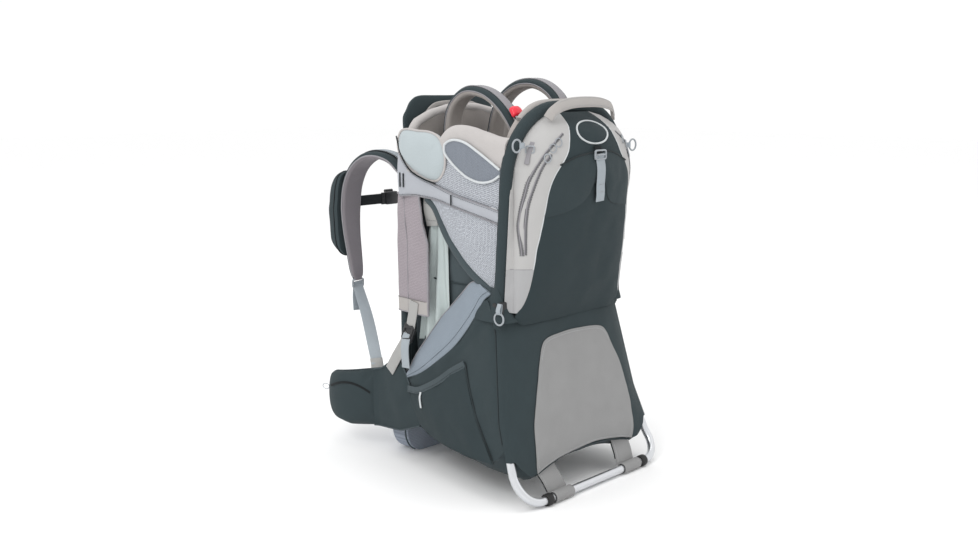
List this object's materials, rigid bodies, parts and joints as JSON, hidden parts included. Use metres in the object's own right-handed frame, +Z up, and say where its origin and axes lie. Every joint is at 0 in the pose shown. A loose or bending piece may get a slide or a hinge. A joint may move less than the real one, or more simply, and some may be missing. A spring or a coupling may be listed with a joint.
{
  "type": "child carrier backpack",
  "caption": "Framed backpack for carrying a child: open cockpit with face pads and harness, rear storage pouch, lower bag, shoulder straps, hip belt and a folding tubular kickstand.",
  "frame": {"origin": "centre of the footprint, on the ground under the standing carrier", "axes": "+Z up, +Y the way the wearer faces, -X the wearer's left, so the storage pouch and the kickstand's crossbar are towards -Y"},
  "size_m": [0.4252, 0.6651, 0.7697],
  "materials": {
    "frame_aluminium": "satin",
    "black_plastic": "moulded",
    "grey_plastic": "moulded",
    "red_plastic": "moulded",
    "foot_rubber": "matt",
    "dark_fabric": "woven",
    "grey_fabric": "woven",
    "grey_mesh": "air mesh",
    "mauve_foam": "brushed foam",
    "pale_fleece": "soft fleece",
    "grey_webbing": "webbing"
  },
  "bodies": {
    "frame": {"front_frame": "frame_aluminium", "rear_hoop": "frame_aluminium", "cockpit_rail_left": "frame_aluminium", "cockpit_rail_right": "frame_aluminium", "seat_rail_left": "frame_aluminium", "seat_rail_right": "frame_aluminium", "hinge_pin_left": "frame_aluminium", "hinge_pin_right": "frame_aluminium", "hinge_bracket_left": "black_plastic", "hinge_bracket_right": "black_plastic", "harness_buckle": "black_plastic", "wing_buckle_left": "black_plastic", "wing_buckle_right": "black_plastic", "harness_adjuster_left": "red_plastic", "harness_adjuster_right": "red_plastic", "lower_bag": "dark_fabric", "rear_pouch": "dark_fabric", "cockpit_liner": "dark_fabric", "head_panel": "dark_fabric", "grab_handle": "grey_fabric", "child_seat": "grey_fabric", "back_panel": "grey_mesh", "lumbar_pad": "grey_mesh", "child_strap_left": "mauve_foam", "child_strap_right": "mauve_foam", "panel_wing_left": "mauve_foam", "panel_wing_right": "mauve_foam", "face_pad_left": "pale_fleece", "face_pad_right": "pale_fleece", "crotch_strap": "grey_webbing", "wing_webbing_left": "grey_webbing", "wing_webbing_right": "grey_webbing", "strap_webbing_left": "grey_webbing", "strap_webbing_right": "grey_webbing"},
    "kickstand": {"kickstand_tube": "frame_aluminium", "kickstand_foot_left": "foot_rubber", "kickstand_foot_right": "foot_rubber", "base_strap_left": "grey_fabric", "base_strap_right": "grey_fabric"},
    "lock_left": {"lock_button_left": "black_plastic"},
    "lock_right": {"lock_button_right": "black_plastic"},
    "harness": {"harness_yoke": "black_plastic", "shoulder_strap_left": "mauve_foam", "shoulder_strap_right": "mauve_foam", "strap_pocket": "dark_fabric", "sternum_webbing_right": "black_plastic", "sternum_socket": "black_plastic"},
    "sternum_clip": {"sternum_plug": "black_plastic", "sternum_webbing_left": "black_plastic"},
    "child_buckle_button": {"harness_button": "red_plastic"},
    "hip_left": {"hip_wing_left": "dark_fabric", "hip_webbing_left": "black_plastic", "hip_buckle_plug": "black_plastic"},
    "hip_right": {"hip_wing_right": "dark_fabric", "hip_webbing_right": "black_plastic", "hip_buckle_socket": "black_plastic"},
    "ring_upper_left": {"gear_ring_upper_left": "grey_plastic"},
    "ring_upper_right": {"gear_ring_upper_right": "grey_plastic"},
    "ring_lower_left": {"gear_ring_lower_left": "grey_plastic"},
    "ring_lower_right": {"gear_ring_lower_right": "grey_plastic"}
  },
  "joints": [
    {"name": "kickstand_fold", "type": "hinge", "parent": "frame", "child": "kickstand", "pos_m": [0, -0.217, 0.345], "axis": [1, 0, 0], "range_deg": [0, 55], "deforming": ["base_strap_left", "base_strap_right"]},
    {"name": "lock_left_press", "type": "slide", "parent": "frame", "child": "lock_left", "axis": [1, 0, 0], "range_m": [0, 0.003], "stiffness_N_per_m": 1500},
    {"name": "lock_right_press", "type": "slide", "parent": "frame", "child": "lock_right", "axis": [-1, 0, 0], "range_m": [0, 0.003], "stiffness_N_per_m": 1500},
    {"name": "torso_adjust", "type": "slide", "parent": "frame", "child": "harness", "axis": [0, 0, 1], "range_m": [-0.1, 0], "deforming": ["strap_webbing_left", "strap_webbing_right"]},
    {"name": "sternum_release", "type": "slide", "parent": "harness", "child": "sternum_clip", "axis": [1, 0, 0], "range_m": [-0.024, 0]},
    {"name": "child_buckle_press", "type": "slide", "parent": "frame", "child": "child_buckle_button", "axis": [0, -1, 0], "range_m": [0, 0.003], "stiffness_N_per_m": 1500},
    {"name": "hip_left_swing", "type": "hinge", "parent": "frame", "child": "hip_left", "pos_m": [-0.1425, 0.13, 0.104], "axis": [0, 0, 1], "range_deg": [-15, 35]},
    {"name": "hip_right_swing", "type": "hinge", "parent": "frame", "child": "hip_right", "pos_m": [0.1425, 0.13, 0.104], "axis": [0, 0, -1], "range_deg": [-15, 35]},
    {"name": "ring_upper_left_swing", "type": "hinge", "parent": "frame", "child": "ring_upper_left", "pos_m": [-0.1655, -0.266, 0.657], "axis": [0, 0, 1], "range_deg": [-45, 45]},
    {"name": "ring_upper_right_swing", "type": "hinge", "parent": "frame", "child": "ring_upper_right", "pos_m": [0.1655, -0.26, 0.645], "axis": [0, 0, 1], "range_deg": [-45, 45]},
    {"name": "ring_lower_left_swing", "type": "hinge", "parent": "frame", "child": "ring_lower_left", "pos_m": [-0.185, -0.232, 0.354], "axis": [1, 0, 0], "range_deg": [-40, 40]},
    {"name": "ring_lower_right_swing", "type": "hinge", "parent": "frame", "child": "ring_lower_right", "pos_m": [0.185, -0.208, 0.354], "axis": [1, 0, 0], "range_deg": [-40, 40]}
  ]
}
